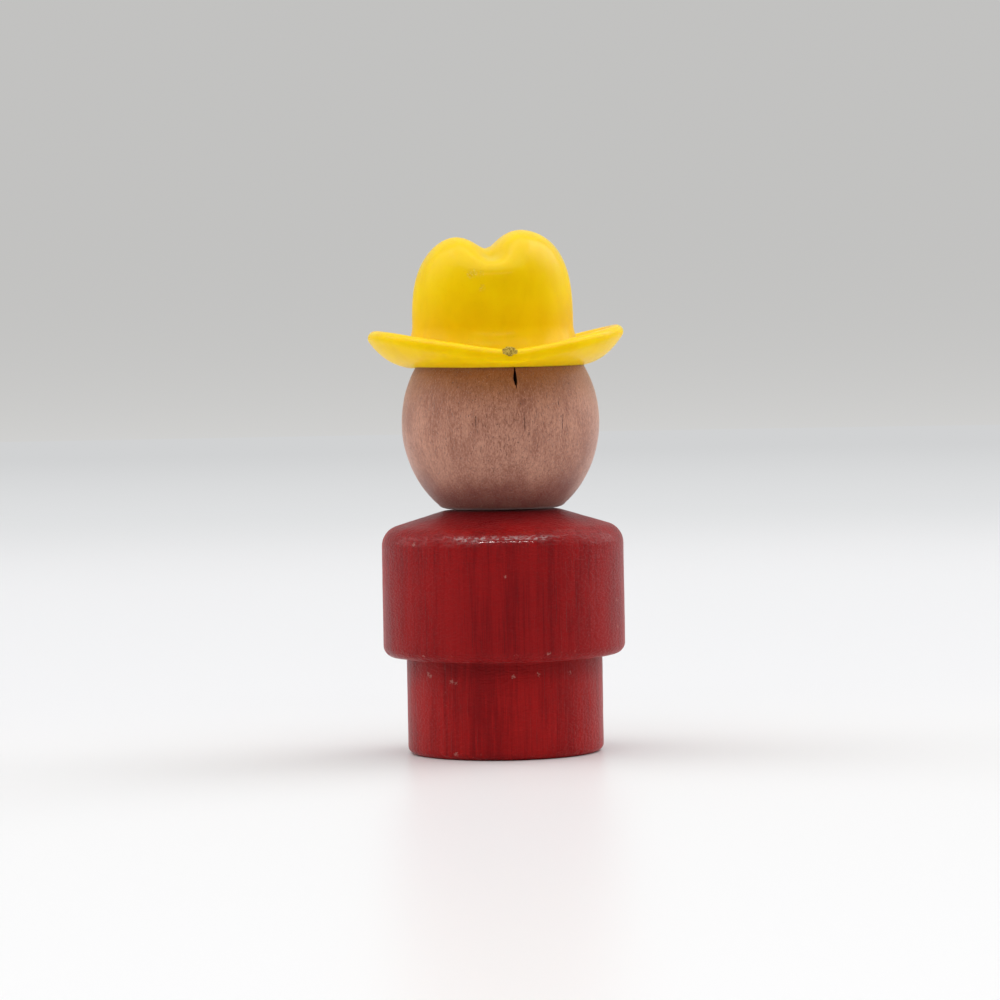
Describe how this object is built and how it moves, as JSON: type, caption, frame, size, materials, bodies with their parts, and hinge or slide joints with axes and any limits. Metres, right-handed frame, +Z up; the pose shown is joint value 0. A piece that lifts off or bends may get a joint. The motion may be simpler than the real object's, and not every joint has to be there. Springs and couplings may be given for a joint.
{
  "type": "turned wooden peg figure",
  "caption": "Turned wooden play figure: red body with a narrower peg base, ball head that turns on a pin, yellow moulded western hat.",
  "frame": {"origin": "middle of the flat base of the peg, on the turning axis", "axes": "+Z up along the turning axis, +Y the way the figure faces, +X to the figure's left"},
  "size_m": [0.0247, 0.027, 0.0505],
  "materials": {
    "red_lacquered_wood": "satin red lacquer over fine vertical grain, worn to a soft gloss",
    "flesh_lacquered_wood": "thin flesh-toned lacquer over fine vertical grain, slightly dull",
    "pin_steel": "drawn bright steel",
    "yellow_plastic": "moulded soft gloss yellow plastic, a little translucent at thin edges"
  },
  "bodies": {
    "figure": {"body": "red_lacquered_wood", "neck_pin": "pin_steel"},
    "head_and_hat": {"head": "flesh_lacquered_wood", "hat": "yellow_plastic"}
  },
  "joints": [
    {"name": "head_turn", "type": "hinge", "parent": "figure", "child": "head_and_hat", "pos_m": [0, 0, 0.02365], "axis": [0, 0, 1], "continuous": true}
  ]
}
